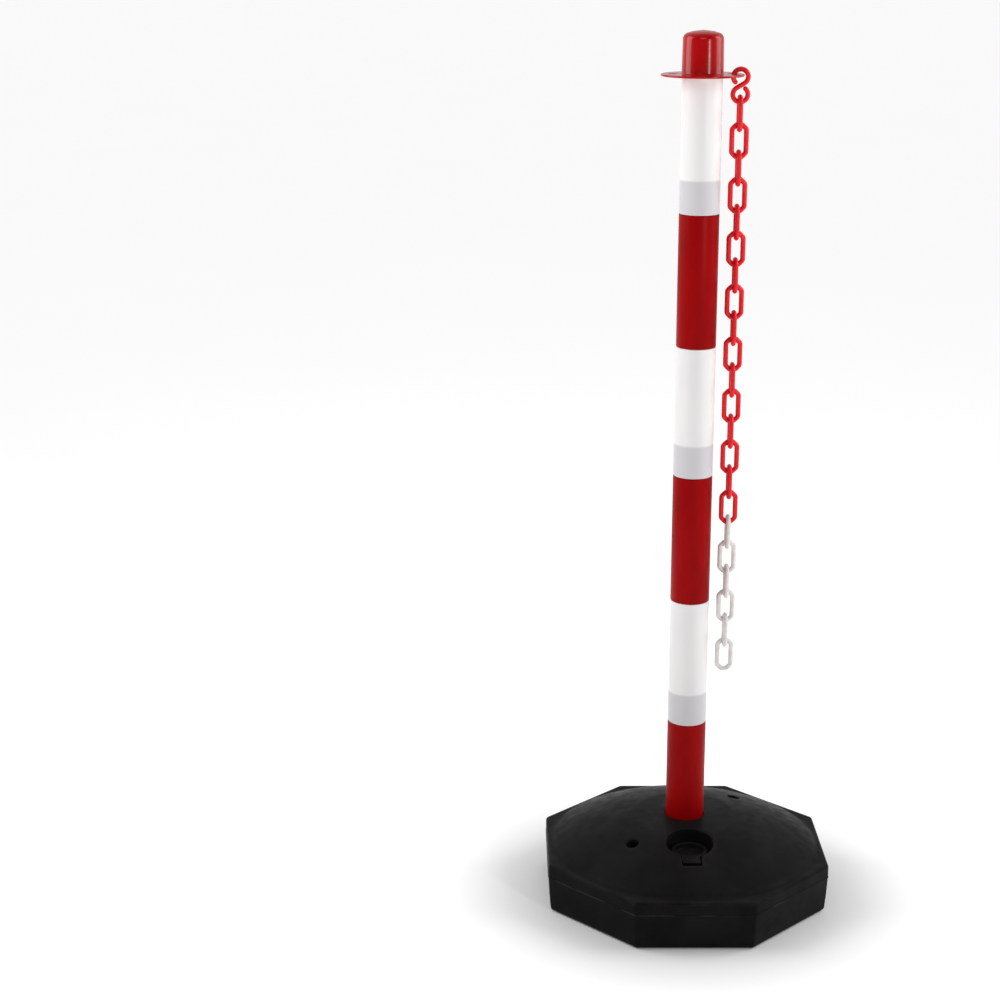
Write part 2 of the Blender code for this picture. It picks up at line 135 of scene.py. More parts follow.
# Cap, hook and chain
FLANGE_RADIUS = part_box("top_cap")[1].x
FLANGE_THICKNESS = 2.2 * MM
CAP_BORE_DEPTH = 35 * MM
HOOK_HOLE_RADIUS = 4.6 * MM
HOOK_HOLE_MARGIN = 6.9 * MM
HOOK_HOLE_DISTANCE = FLANGE_RADIUS - HOOK_HOLE_MARGIN - HOOK_HOLE_RADIUS
HOOK_WIRE = 4.7 * MM
HOOK_LOOP_RADIUS = 7.3 * MM
LINK_WIRE = 4.8 * MM
LINK_BEND = 3.2 * MM
LINK_CHAMFER_SHARE = 0.62
RED_LINK_COUNT = 16
LINK_COUNT = sum(name.startswith("chain_link_") for name in frame["nodes"])

# Studio
# painted light: the floor glows, less near the post, which gives a painted shadow round it
PAINTED_FLOOR_GLOW_NEAR = 0.08
PAINTED_FLOOR_GLOW_FAR = 0.56
PAINTED_SHADOW_START = 0.13
PAINTED_SHADOW_END = 0.36


# ---------------------------------------------------------------- finishes

def linear(hex_colour):
    """sRGB hex to linear RGBA."""
    channels = [int(hex_colour[i : i + 2], 16) / 255 for i in (1, 3, 5)]
    red, green, blue = [c / 12.92 if c <= 0.04045 else ((c + 0.055) / 1.055) ** 2.4 for c in channels]
    return (red, green, blue, 1.0)


def add_node(tree, kind, settings=(), **inputs):
    """Adds a node, with its settings, and with its inputs set or linked. An input is named by its
    label with _ for a space, or in_N for the Nth one."""
    node = tree.nodes.new(kind)
    for name, value in dict(settings).items():
        setattr(node, name, value)
    for name, value in inputs.items():
        key = int(name[3:]) if name.startswith("in_") else name.replace("_", " ")
        if isinstance(value, bpy.types.NodeSocket):
            tree.links.new(value, node.inputs[key])
        else:
            node.inputs[key].default_value = value
    return node


def plastic(name, colour, roughness, specular):
    """A new material with a Principled shader; returns it, its tree and the shader."""
    material = bpy.data.materials.new(name)
    material.use_nodes = True
    tree = material.node_tree
    shader = tree.nodes["Principled BSDF"]
    shader.inputs["Base Color"].default_value = linear(colour)
    shader.inputs["Roughness"].default_value = roughness
    shader.inputs["Specular IOR Level"].default_value = specular
    shader.inputs["IOR"].default_value = PLASTIC_IOR
    return material, tree, shader


def mixed(tree, factor, low, high):
    """A colour between two hex colours or sockets, by a 0 to 1 factor."""
    ends = [end if isinstance(end, bpy.types.NodeSocket) else linear(end) for end in (low, high)]
    mix = add_node(tree, "ShaderNodeMix", {"data_type": "RGBA"}, in_0=factor, in_6=ends[0], in_7=ends[1])
    return mix.outputs[2]


def noise(tree, where, size_mm, detail, stretch=(1.0, 1.0, 1.0)):
    """Noise whose features are about size_mm across, as a 0 to 1 socket."""
    scaled = add_node(tree, "ShaderNodeMapping", Vector=where, Scale=stretch)
    texture = add_node(
        tree, "ShaderNodeTexNoise", Vector=scaled.outputs[0], Scale=1 / (size_mm * MM), Detail=detail
    )
    return texture.outputs[0]


def ramp(tree, value, start, end, low=0.0, high=1.0):
    """Maps a value from start..end to low..high, clamped and smooth."""
    settings = {"interpolation_type": "SMOOTHSTEP", "clamp": True}
    limits = {"in_1": start, "in_2": end, "in_3": low, "in_4": high}
    return add_node(tree, "ShaderNodeMapRange", settings, in_0=value, **limits).outputs[0]


def bump(tree, height, depth_mm, strength, under=None):
    """A bump of a real depth, on top of another bump's normal if there is one."""
    inputs = {"Height": height, "Distance": depth_mm * MM, "Strength": strength}
    if under is not None:
        inputs["Normal"] = under
    return add_node(tree, "ShaderNodeBump", **inputs).outputs[0]


def object_place(tree):
    """Where a point is on the piece itself, in metres."""
    return add_node(tree, "ShaderNodeTexCoord").outputs["Object"]


def blow_moulded_polyethylene():
    """Black HDPE, blow-moulded against a sandblasted tool: a satin skin that is slightly wavy,
    finely grained, cloudy where it has been handled, and paler along its rubbed edges; the paler
    dashes on its parting ridge are painted highlight as well as wear."""
    material, tree, shader = plastic("black_blow_moulded_polyethylene", "#121112", 0.46, 0.045)
    place = object_place(tree)
    cloud = noise(tree, place, 45, 4)
    skin = mixed(tree, ramp(tree, cloud, 0.35, 0.7), "#100f10", "#181717")
    scuff = ramp(tree, noise(tree, place, 9, 6, (1.0, 0.22, 1.0)), 0.66, 0.82)
    skin = mixed(tree, scuff, skin, "#1a1819")
    # paler where rubbed, and in patchy dashes on the parting ridge that are painted highlight as well as wear
    worn_and_highlit = add_node(tree, "ShaderNodeAttribute", {"attribute_name": "wear_and_highlight"}).outputs["Fac"]
    rubbed_and_highlit_patches = ramp(tree, noise(tree, place, 30, 3), 0.42, 0.62)
    patchy_wear_and_highlight = add_node(tree, "ShaderNodeMath", {"operation": "MULTIPLY"}, in_0=worn_and_highlit, in_1=rubbed_and_highlit_patches)
    skin = mixed(tree, patchy_wear_and_highlight.outputs[0], skin, "#3a3637")
    tree.links.new(skin, shader.inputs["Base Color"])
    tree.links.new(ramp(tree, noise(tree, place, 12, 5), 0.3, 0.7, 0.40, 0.52), shader.inputs["Roughness"])
    waves = bump(tree, noise(tree, place, 40, 2), 0.25, 0.25)
    # the grain of the tool is about 0.3 mm; it is drawn at 0.8 mm so that it shows
    grain = bump(tree, noise(tree, place, 0.8, 2), 0.06, 0.4, waves)
    tree.links.new(grain, shader.inputs["Normal"])
    return material


def tube_plastic(name, pale, deep, roughness, specular, spigot_painted_shade=None):
    """Thin-walled polypropylene, injection-moulded on a long core: a soft gloss with faint draw lines
    along it. The colour given for the spigot is painted shade over the lowest quarter, where the next
    segment's spigot inside keeps light from coming through the thin wall."""
    material, tree, shader = plastic(name, pale, roughness, specular)
    place = object_place(tree)
    lines = noise(tree, place, 1.6, 3, (1.0, 1.0, 0.02))
    clouds = noise(tree, place, 22, 3, (1.0, 1.0, 0.4))
    skin = mixed(tree, ramp(tree, clouds, 0.3, 0.75), pale, deep)
    # painted shade over the spigot inside, not a colour of the plastic
    if spigot_painted_shade is not None:
        height = add_node(tree, "ShaderNodeSeparateXYZ", in_0=place).outputs[2]
        painted_spigot_shade_mask = ramp(tree, height, SPIGOT_PAINTED_SHADE_TOP, SPIGOT_PAINTED_SHADE_TOP - SPIGOT_PAINTED_SHADE_FADE)
        skin = mixed(tree, painted_spigot_shade_mask, skin, spigot_painted_shade)
    tree.links.new(skin, shader.inputs["Base Color"])
    gloss = ramp(tree, clouds, 0.25, 0.75, roughness - 0.04, roughness + 0.06)
    tree.links.new(gloss, shader.inputs["Roughness"])
    draw = bump(tree, lines, 0.02, 0.5)
    tree.links.new(draw, shader.inputs["Normal"])
    return material


def chain_plastic(name, pale, deep, roughness):
    """Injection-moulded polyethylene of the chain: bright, soft gloss, with slight sink marks."""
    material, tree, shader = plastic(name, pale, roughness, 0.25)
    place = object_place(tree)
    flow = noise(tree, place, 5, 3)
    tree.links.new(mixed(tree, ramp(tree, flow, 0.3, 0.7), pale, deep), shader.inputs["Base Color"])
    gloss = ramp(tree, flow, 0.3, 0.7, roughness - 0.05, roughness + 0.08)
    tree.links.new(gloss, shader.inputs["Roughness"])
    sink = bump(tree, noise(tree, place, 2.5, 2), 0.08, 0.4)
    tree.links.new(sink, shader.inputs["Normal"])
    return material


def painted_floor():
    """Matt white studio floor that glows as painted light, with the glow weaker round its middle as a
    painted shadow round the post, besides the post's own soft shadow."""
    material, tree, shader = plastic("white_floor_painted_glow_and_shadow", "#e6e6e6", 0.95, 0.05)
    place = object_place(tree)
    patch = noise(tree, place, 600, 2)
    tree.links.new(mixed(tree, patch, "#e4e4e4", "#e8e8e8"), shader.inputs["Base Color"])
    shader.inputs["Emission Color"].default_value = (1.0, 1.0, 1.0, 1.0)
    # painted light and painted shadow: the floor's glow, dimmed near the post
    distance = add_node(tree, "ShaderNodeVectorMath", {"operation": "LENGTH"}, in_0=place).outputs["Value"]
    painted_glow_and_shadow = ramp(tree, distance, PAINTED_SHADOW_START, PAINTED_SHADOW_END, PAINTED_FLOOR_GLOW_NEAR, PAINTED_FLOOR_GLOW_FAR)
    tree.links.new(painted_glow_and_shadow, shader.inputs["Emission Strength"])
    return material


# ---------------------------------------------------------------- shaping tools

def filleted(corners, closed, steps=5):
    """A 2D outline from (across, up, radius) corners, with each radius drawn as an arc."""
    outline = []
    count = len(corners)
    for index, (across, up, radius) in enumerate(corners):
        here = Vector((across, up))
        if radius <= 0 or (not closed and index in (0, count - 1)):
            outline.append(here)
            continue
        before = Vector(corners[index - 1][:2]) - here
        after = Vector(corners[(index + 1) % count][:2]) - here
        half_angle = before.angle(after) / 2
        reach = min(radius / math.tan(half_angle), before.length * 0.49, after.length * 0.49)
        true_radius = reach * math.tan(half_angle)
        bisector = (before.normalized() + after.normalized()).normalized()
        middle = here + bisector * (true_radius / math.sin(half_angle))
        start = here + before.normalized() * reach - middle
        end = here + after.normalized() * reach - middle
        sweep = start.angle_signed(end)
        for step in range(steps + 1):
            turned_by = -sweep * step / steps
            outline.append(middle + Matrix.Rotation(turned_by, 2) @ start)
    return outline


def turned(profile, steps, ring, ripple=None):
    """Turns a (radius, height) outline about Z. A ring's outline closes on itself; otherwise both
    its ends are on the axis. ripple(angle, radius, height) may return a changed radius."""
    bm = bmesh.new()
    rows = []
    for radius, height in profile:
        if radius < MERGE_DISTANCE:
            rows.append([bm.verts.new((0.0, 0.0, height))] * steps)
            continue
        row = []
        for step in range(steps):
            angle = 2 * math.pi * step / steps
            here = ripple(angle, radius, height) if ripple else radius
            row.append(bm.verts.new((here * math.cos(angle), here * math.sin(angle), height)))
        rows.append(row)
    pairs = list(zip(rows, rows[1:]))
    if ring:
        pairs.append((rows[-1], rows[0]))
    for lower, upper in pairs:
        for step in range(steps):
            after = (step + 1) % steps
            corners = [lower[step], lower[after], upper[after], upper[step]]
            corners = [v for i, v in enumerate(corners) if v not in corners[:i]]
            if len(corners) > 2:
                bm.faces.new(corners)
    return bm


def swept(path, plane_normal, radius, closed, seam):
    """A round bar along a flat path, with a fine mould seam on its inner and outer edges, as high as
    a share of its radius, and round ends where the path is open."""
    sides = 20
    seam_start = 0.97
    bm = bmesh.new()
    count = len(path)
    rows = []

    def bar_row(middle, along, size):
        outward = along.cross(plane_normal).normalized()
        row = []
        for side in range(sides):
            angle = 2 * math.pi * side / sides
            direction = math.cos(angle) * outward + math.sin(angle) * plane_normal
            on_seam = max(0.0, abs(math.cos(angle)) - seam_start) / (1 - seam_start)
            row.append(bm.verts.new(middle + size * (1 + seam * on_seam) * direction))
        return row

    for index in range(count):
        before = path[index - 1] if closed or index else path[0]
        after = path[(index + 1) % count] if closed or index < count - 1 else path[-1]
        rows.append(bar_row(path[index], (after - before).normalized(), radius))
    if closed:
        rows.append(rows[0])
    else:
        for end, inner in ((0, 1), (-1, -2)):
            out = (path[end] - path[inner]).normalized()
            along = out if end else -out
            end_rows = []
            for degrees in (24, 42, 60, 78):
                angle = math.radians(degrees)
                middle = path[end] + out * radius * math.sin(angle)
                end_rows.append(bar_row(middle, along, radius * math.cos(angle)))
            rows = rows + end_rows if end else list(reversed(end_rows)) + rows
        bm.faces.new(rows[0])
        bm.faces.new(list(reversed(rows[-1])))
    for first, second in zip(rows, rows[1:]):
        for side in range(sides):
            after = (side + 1) % sides
            bm.faces.new((first[side], first[after], second[after], second[side]))
    return bm


def smoothed(bm, name):
    """A mesh from a bmesh, facing outwards and shaded smooth but for its sharper edges."""
    bmesh.ops.recalc_face_normals(bm, faces=bm.faces)
    mesh = bpy.data.meshes.new(name)
    bm.to_mesh(mesh)
    bm.free()
    mesh.shade_smooth()
    mesh.set_sharp_from_angle(angle=SHARP_ANGLE)
    return mesh


def add_piece(name, mesh, material, body, node, place=(0.0, 0.0, 0.0), turn=None):
    """Puts a finished piece in place of its CAD node, on its body."""
    piece = bpy.data.objects.new(name, mesh)
    bpy.context.scene.collection.objects.link(piece)
    mesh.materials.append(material)
    piece.location = Vector(place)
    if turn is not None:
        piece.rotation_euler = turn
    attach(piece, body)
    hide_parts(node)
    return piece


def apply_modifiers(piece):
    """Bakes the piece's modifiers into its mesh."""
    evaluated = piece.evaluated_get(bpy.context.evaluated_depsgraph_get())
    mesh = bpy.data.meshes.new_from_object(evaluated)
    piece.modifiers.clear()
    piece.data = mesh


def combine(piece, tool_bm, operation):
    """Joins a shape to a piece, or cuts it out, and leaves no modifier behind."""
    tool = bpy.data.objects.new("tool", smoothed(tool_bm, "tool"))
    bpy.context.scene.collection.objects.link(tool)
    bpy.context.view_layer.update()
    step = piece.modifiers.new("step", "BOOLEAN")
    step.operation = operation
    step.solver = "EXACT"
    step.object = tool
    apply_modifiers(piece)
    bpy.data.objects.remove(tool)
    piece.data.shade_smooth()
    piece.data.set_sharp_from_angle(angle=SHARP_ANGLE)


def rounded_bar(size, round_radius, place):
    """A block with rounded edges, centred on a place."""
    bm = bmesh.new()
    bmesh.ops.create_cube(bm, size=1.0, matrix=Matrix.Diagonal(Vector(size)).to_4x4())
    bmesh.ops.bevel(bm, geom=bm.edges[:], offset=round_radius, segments=4, profile=0.5, affect="EDGES")
    bmesh.ops.translate(bm, verts=bm.verts, vec=Vector(place))
    return bm


# ---------------------------------------------------------------- base

def top_height(distance):
    """Height of the base's raised top: a nearly flat crown, then a skirt that curves down."""
    height = CROWN_HEIGHT - min(distance, CROWN_RADIUS) * math.tan(CROWN_SLOPE)
    if distance > CROWN_RADIUS:
        start = math.sin(SKIRT_TOP_SLOPE)
        slope = math.asin(start + (distance - CROWN_RADIUS) / SKIRT_CURVE_RADIUS)
        height -= SKIRT_CURVE_RADIUS * (math.cos(SKIRT_TOP_SLOPE) - math.cos(slope))
    return height


def surface(point):
    """Height of the base's top at a point: the raised top, then a small fillet to the flat rim."""
    distance = math.hypot(point[0], point[1])
    if distance <= SKIRT_EDGE_RADIUS:
        return top_height(distance)
    share = min(1.0, (distance - SKIRT_EDGE_RADIUS) / SKIRT_FOOT_WIDTH)
    ease = (1 - share) ** 2
    return RIM_HEIGHT + (top_height(SKIRT_EDGE_RADIUS) - RIM_HEIGHT) * ease


def octagon(half_flats):
    """Outline of the base at a distance from its middle to a side, with rounded corners."""
    corner_steps, flat_steps = 8, 15
    radius = max(SHARPEST_CORNER, CORNER_RADIUS + half_flats - HALF_FLATS)
    corner_distance = (half_flats - radius) / math.cos(math.pi / 8)
    flat_half = (half_flats - radius) * math.tan(math.pi / 8)
    points = []
    for side in range(8):
        corner = math.pi / 8 + side * math.pi / 4
        middle = corner_distance * Vector((math.cos(corner), math.sin(corner)))
        for step in range(corner_steps + 1):
            angle = corner + (step / corner_steps - 0.5) * math.pi / 4
            points.append(middle + radius * Vector((math.cos(angle), math.sin(angle))))
        facing = corner + math.pi / 8
        outward = Vector((math.cos(facing), math.sin(facing)))
        along = Vector((-math.sin(facing), math.cos(facing)))
        for step in range(1, flat_steps):
            points.append(outward * half_flats + along * flat_half * (2 * step / flat_steps - 1))
    return points


def circle(middle, radius, count):
    """A round outline with a number of points."""
    angles = [2 * math.pi * step / count for step in range(count)]
    return [Vector(middle) + radius * Vector((math.cos(a), math.sin(a))) for a in angles]


def well_outline():
    """The filler's round well and, in front of it, the notch that its tab lies in."""
    round_steps, side_steps, end_steps, softenings = 99, 12, 14, 4
    meet = math.sqrt(WELL_RADIUS**2 - NOTCH_HALF_WIDTH**2)
    start = math.atan2(-meet, NOTCH_HALF_WIDTH)
    sweep = 2 * math.pi - 2 * (math.pi / 2 + start)
    depth = NOTCH_END - FILLER_DISTANCE - meet
    middle = Vector((0.0, -FILLER_DISTANCE))
    points = []
    for step in range(round_steps + 1):
        angle = start + sweep * step / round_steps
        points.append(middle + WELL_RADIUS * Vector((math.cos(angle), math.sin(angle))))
    for step in range(1, side_steps):
        points.append(middle + Vector((-NOTCH_HALF_WIDTH, -meet - depth * step / side_steps)))
    for step in range(end_steps + 1):
        points.append(Vector((NOTCH_HALF_WIDTH * (2 * step / end_steps - 1), -NOTCH_END)))
    for step in range(1, side_steps):
        points.append(Vector((NOTCH_HALF_WIDTH, -NOTCH_END + depth * step / side_steps)))
    count = len(points)
    for _ in range(softenings):
        points = [points[i] * 0.5 + (points[i - 1] + points[(i + 1) % count]) * 0.25 for i in range(count)]
    return points


def offset_outline(outline, distance):
    """An outline moved outwards from its hole by a distance."""
    count = len(outline)
    area = sum(outline[i - 1].cross(outline[i]) for i in range(count))
    side = 1.0 if area > 0 else -1.0
    moved = []
    for index in range(count):
        along = (outline[(index + 1) % count] - outline[index - 1]).normalized()
        moved.append(outline[index] + Vector((along.y, -along.x)) * side * distance)
    return moved


def inside(point, outline):
    """Whether a point is inside an outline, by counting crossings."""
    crossed = False
    for a, b in zip(outline, outline[1:] + outline[:1]):
        if (a.y > point.y) != (b.y > point.y):
            if point.x < (b.x - a.x) * (point.y - a.y) / (b.y - a.y) + a.x:
                crossed = not crossed
    return crossed


def filled(bm, outer, holes, height_at, extra=()):
    """Fills the area between an outline and its holes with triangles; returns the loops of
    vertices on the outline and on each hole."""
    loops = [outer] + holes
    points = [point for loop in loops for point in loop] + list(extra)
    edges = []
    start = 0
    for loop in loops:
        count = len(loop)
        edges += [(start + i, start + (i + 1) % count) for i in range(count)]
        start += count
    tolerance = 1e-7
    flat_points, _, faces, origins = delaunay_2d_cdt(points, edges, [], 0, tolerance)[:4]
    verts = [bm.verts.new((p.x, p.y, height_at(p))) for p in flat_points]
    for face in faces:
        middle = sum((flat_points[i] for i in face), Vector((0.0, 0.0))) / len(face)
        if inside(middle, outer) and not any(inside(middle, hole) for hole in holes):
            bm.faces.new([verts[i] for i in face])
    by_input = {}
    for index, sources in enumerate(origins):
        for source in sources:
            by_input[source] = verts[index]
    result = []
    start = 0
    for loop in loops:
        result.append([by_input[start + i] for i in range(len(loop))])
        start += len(loop)
    return result


def bridge(bm, first, second):
    """Joins two loops of vertices with a band of faces."""
    count = len(first)
    for index in range(count):
        after = (index + 1) % count
        bm.faces.new((first[index], first[after], second[after], second[index]))


def add_loop(bm, wear_and_highlight, outline, height_at, worn_and_highlit=0.0):
    """Vertices along an outline, and how rubbed they are, which on the parting ridge is also painted
    highlight.
    """
    loop = []
    for point in outline:
        vert = bm.verts.new((point.x, point.y, height_at(point)))
        vert[wear_and_highlight] = worn_and_highlit
        loop.append(vert)
    return loop


def lip(bm, wear_and_highlight, edge_loop, outline, radius, height_at, direction=-1.0):
    """A rounded lip from a face's edge into a hole, downwards or, with direction 1, upwards; returns
    the loop where the wall starts."""
    steps = 4
    for vert in edge_loop:
        vert[wear_and_highlight] = WORN_LIP_EDGE
    last = edge_loop
    for step in range(1, steps + 1):
        angle = math.pi / 2 * step / steps
        ring = offset_outline(outline, radius * (1 - math.sin(angle)))
        drop = direction * radius * (1 - math.cos(angle))
        loop = add_loop(bm, wear_and_highlight, ring, lambda p: height_at(p) + drop, WORN_LIP)
        bridge(bm, last, loop)
        last = loop
    return last


def top_grid():
    """Points all over the base's top, in rings, closer together where its slope changes."""
    crown = [24 + 5 * step for step in range(6)]
    crown_edge = [52, 53.2, 54.8, 56, 59]
    skirt = [63 + 4.5 * step for step in range(16)]
    skirt_foot = [133.5, 135.5, 137, 137.8, 138.8, 139.8, 141, 142.2]
    rim = [144, 147, 150]
    spacing = 5
    fewest = 40
    points = []
    for number, radius in enumerate(crown + crown_edge + skirt + skirt_foot + rim):
        count = max(fewest, round(2 * math.pi * radius / spacing))
        for step in range(count):
            angle = 2 * math.pi * (step + 0.5 * (number % 2)) / count
            points.append(radius * MM * Vector((math.cos(angle), math.sin(angle))))
    return points


def clear_of(points, outline, holes, gap):
    """The points that lie inside an outline and outside its holes, with a gap to both."""
    inner = offset_outline(outline, -gap)
    wide = [offset_outline(hole, gap) for hole in holes]
    return [p for p in points if inside(p, inner) and not any(inside(p, hole) for hole in wide)]


def flat(height):
    """A surface with the same height everywhere."""
    return lambda point: height


def add_well_floor(bm, wear_and_highlight, well, well_wall):
    """The well's rounded floor, and the neck from there down to the ballast space; returns the neck's
    outline and its lowest loop."""
    last = well_wall
    steps = 4
    for step in range(steps + 1):
        angle = math.pi / 2 * step / steps
        ring = offset_outline(well, -WELL_FLOOR_ROUND * (1 - math.cos(angle)))
        loop = add_loop(bm, wear_and_highlight, ring, flat(WELL_FLOOR + WELL_FLOOR_ROUND * (1 - math.sin(angle))))
        bridge(bm, last, loop)
        last = loop
    floor_edge = offset_outline(well, -WELL_FLOOR_ROUND)
    neck = circle((0.0, -FILLER_DISTANCE), NECK_RADIUS, 72)
    neck_edge = offset_outline(neck, NECK_LIP)
    floor_loops = filled(bm, floor_edge, [neck_edge], flat(WELL_FLOOR))
    bmesh.ops.remove_doubles(bm, verts=last + floor_loops[0], dist=MERGE_DISTANCE)
    neck_top = lip(bm, wear_and_highlight, floor_loops[1], neck, NECK_LIP, flat(WELL_FLOOR))
    neck_bottom = add_loop(bm, wear_and_highlight, neck, flat(CAVITY_CEILING))
    bridge(bm, neck_top, neck_bottom)
    return neck, neck_bottom


def add_ballast_space(bm, anchors, neck, neck_bottom):
    """The hollow for the ballast, open to the neck, with a tube round each anchor hole."""
    tubes = [offset_outline(anchor, WALL) for anchor in anchors]
    room = octagon(HALF_FLATS - DRAFT - WALL)
    ceiling = filled(bm, room, [neck] + tubes, flat(CAVITY_CEILING))
    bmesh.ops.remove_doubles(bm, verts=neck_bottom + ceiling[1], dist=MERGE_DISTANCE)
    floor = filled(bm, room, tubes, flat(WALL))
    bridge(bm, ceiling[0], floor[0])
    for upper, lower in zip(ceiling[2:], floor[1:]):
        bridge(bm, upper, lower)


def side_rings():
    """The base's sides from the rim down, as (distance from the middle, height, how rubbed, which on the
    parting ridge is painted highlight as well as wear): the rounded rim, the parting ridge with its soft
    sides, the draft below it and the rounded foot."""
    side = HALF_FLATS - PARTING_RIDGE
    steps = 6
    rings = []
    for step in range(1, steps + 1):
        angle = math.pi / 2 * step / steps
        half = side - RIM_ROUND * (1 - math.sin(angle))
        rings.append((half, RIM_HEIGHT - RIM_ROUND * (1 - math.cos(angle)), WORN_RIM))
    ridge = PARTING_HALF_WIDTH
    rings += [
        (side, RIM_HEIGHT - RIM_ROUND - 0.8 * MM, 0.0),
        (side, PARTING_HEIGHT + 2.2 * ridge, 0.0),
        # the parting ridge: its paler dashes are painted highlight as well as wear
        (side + 0.1 * PARTING_RIDGE, PARTING_HEIGHT + ridge, PARTING_SIDE_WEAR_AND_HIGHLIGHT),
        (HALF_FLATS, PARTING_HEIGHT + 0.4 * ridge, PARTING_WEAR_AND_HIGHLIGHT),
        (HALF_FLATS, PARTING_HEIGHT - 0.4 * ridge, PARTING_WEAR_AND_HIGHLIGHT),
        (side + 0.1 * PARTING_RIDGE, PARTING_HEIGHT - ridge, PARTING_SIDE_WEAR_AND_HIGHLIGHT),
        (side - 0.05 * DRAFT, PARTING_HEIGHT - 2.2 * ridge, 0.0),
        (side - 0.5 * DRAFT, PARTING_HEIGHT * 0.5, 0.0),
    ]
    for step in range(steps):
        angle = math.pi / 2 * step / steps
        half = side - DRAFT - FOOT_ROUND * (1 - math.cos(angle))
        rings.append((half, FOOT_ROUND * (1 - math.sin(angle)), WORN_FOOT))
    return rings


def base_mesh():
    """The hollow shell, made from the top face down, before the drain hole is cut."""
    bm = bmesh.new()
    wear_and_highlight = bm.verts.layers.float.new("wear_and_highlight")
    anchors = [circle((side * ANCHOR_REACH, side * ANCHOR_REACH), ANCHOR_RADIUS, 48) for side in (-1, 1)]
    socket = circle((0.0, 0.0), SOCKET_RADIUS, 96)
    well = well_outline()
    openings = [(socket, SOCKET_LIP), (well, WELL_LIP)] + [(anchor, ANCHOR_LIP) for anchor in anchors]

    # top face, with a lip round each opening
    outer = octagon(HALF_FLATS - PARTING_RIDGE - RIM_ROUND)
    holes = [offset_outline(outline, radius) for outline, radius in openings]
    extra = clear_of(top_grid(), outer, holes, GRID_CLEARANCE)
    top = filled(bm, outer, holes, surface, extra)
    walls = []
    for loop, (outline, radius) in zip(top[1:], openings):
        walls.append(lip(bm, wear_and_highlight, loop, outline, radius, surface))
    socket_wall, well_wall, *anchor_walls = walls

    socket_floor = add_loop(bm, wear_and_highlight, socket, flat(SOCKET_FLOOR))
    bridge(bm, socket_wall, socket_floor)
    bm.faces.new(socket_floor)
    neck, neck_bottom = add_well_floor(bm, wear_and_highlight, well, well_wall)
    add_ballast_space(bm, anchors, neck, neck_bottom)

    # sides, from the top face's edge to the foot
    last = top[0]
    for vert in last:
        vert[wear_and_highlight] = WORN_TOP_EDGE
    for half, height, worn_and_highlit in side_rings():
        loop = add_loop(bm, wear_and_highlight, octagon(half), flat(height), worn_and_highlit)
        bridge(bm, last, loop)
        last = loop

    # underside, with a lip round each anchor hole
    under_holes = [offset_outline(anchor, ANCHOR_LIP) for anchor in anchors]
    under = filled(bm, octagon(HALF_FLATS - PARTING_RIDGE - DRAFT - FOOT_ROUND), under_holes, flat(0.0))
    bridge(bm, last, under[0])
    for wall, loop, anchor in zip(anchor_walls, under[1:], anchors):
        bridge(bm, wall, lip(bm, wear_and_highlight, loop, anchor, ANCHOR_LIP, flat(0.0), 1.0))
    return smoothed(bm, "base_shell")


def make_base(material):
    """The hollow shell, with the drain hole cut through its back wall."""
    shell = add_piece("base_shell", base_mesh(), material, "base", "base")
    reach = DRAIN_CUT_REACH
    outline = [(0.0, -reach), (DRAIN_RADIUS, -reach), (DRAIN_RADIUS, reach), (0.0, reach)]
    drain = turned(outline, 48, False)
    place = Matrix.Translation((0.0, HALF_FLATS, PARTING_HEIGHT)) @ Matrix.Rotation(math.pi / 2, 4, "X")
    bmesh.ops.transform(drain, matrix=place, verts=drain.verts)
    combine(shell, drain, "DIFFERENCE")


def make_stopper(material):
    """Filler stopper: knurled rim, deeply dished top, and a strap tab for a fingertip."""
    plug = NECK_RADIUS - GAP
    dish = STOPPER_RADIUS - STOPPER_RIM_WIDTH
    height = STOPPER_HEIGHT
    profile = filleted(
        [
            (0.0, STOPPER_DISH_FLOOR, 0.0),
            (dish - 1.0 * MM, STOPPER_DISH_FLOOR, 0.9 * MM),
            (dish, height, 0.7 * MM),
            (STOPPER_RADIUS, height, 1.0 * MM),
            (STOPPER_RADIUS, 0.0, 0.6 * MM),
            (plug, 0.0, 0.3 * MM),
            (plug, -STOPPER_PLUG_LENGTH, 0.8 * MM),
            (plug - 2 * MM, -STOPPER_PLUG_LENGTH, 0.4 * MM),
            (plug - 2 * MM, 3 * MM, 0.8 * MM),
            (0.0, 3 * MM, 0.0),
        ],
        False,
    )

    def knurl(angle, radius, level):
        on_rim = radius > STOPPER_RADIUS - 0.7 * MM and level > 0.5 * MM
        groove = 0.5 + 0.5 * math.cos(STOPPER_RIBS * angle)
        return radius - STOPPER_RIB_DEPTH * groove if on_rim else radius

    mesh = smoothed(turned(profile, 216, False, knurl), "filler_stopper")
    place = (0.0, -FILLER_DISTANCE, STOPPER_SEAT)
    stopper = add_piece("filler_stopper", mesh, material, "filler_cap", "filler_cap", place)
    start = FILLER_DISTANCE + dish + 1.5 * MM
    size = (2 * (NOTCH_HALF_WIDTH - TAB_SIDE_GAP), TAB_END - start, TAB_THICKNESS)
    middle = (0.0, -(start + TAB_END) / 2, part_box("filler_cap")[1].z - TAB_THICKNESS / 2)
    combine(stopper, rounded_bar(size, 0.9 * MM, middle), "UNION")


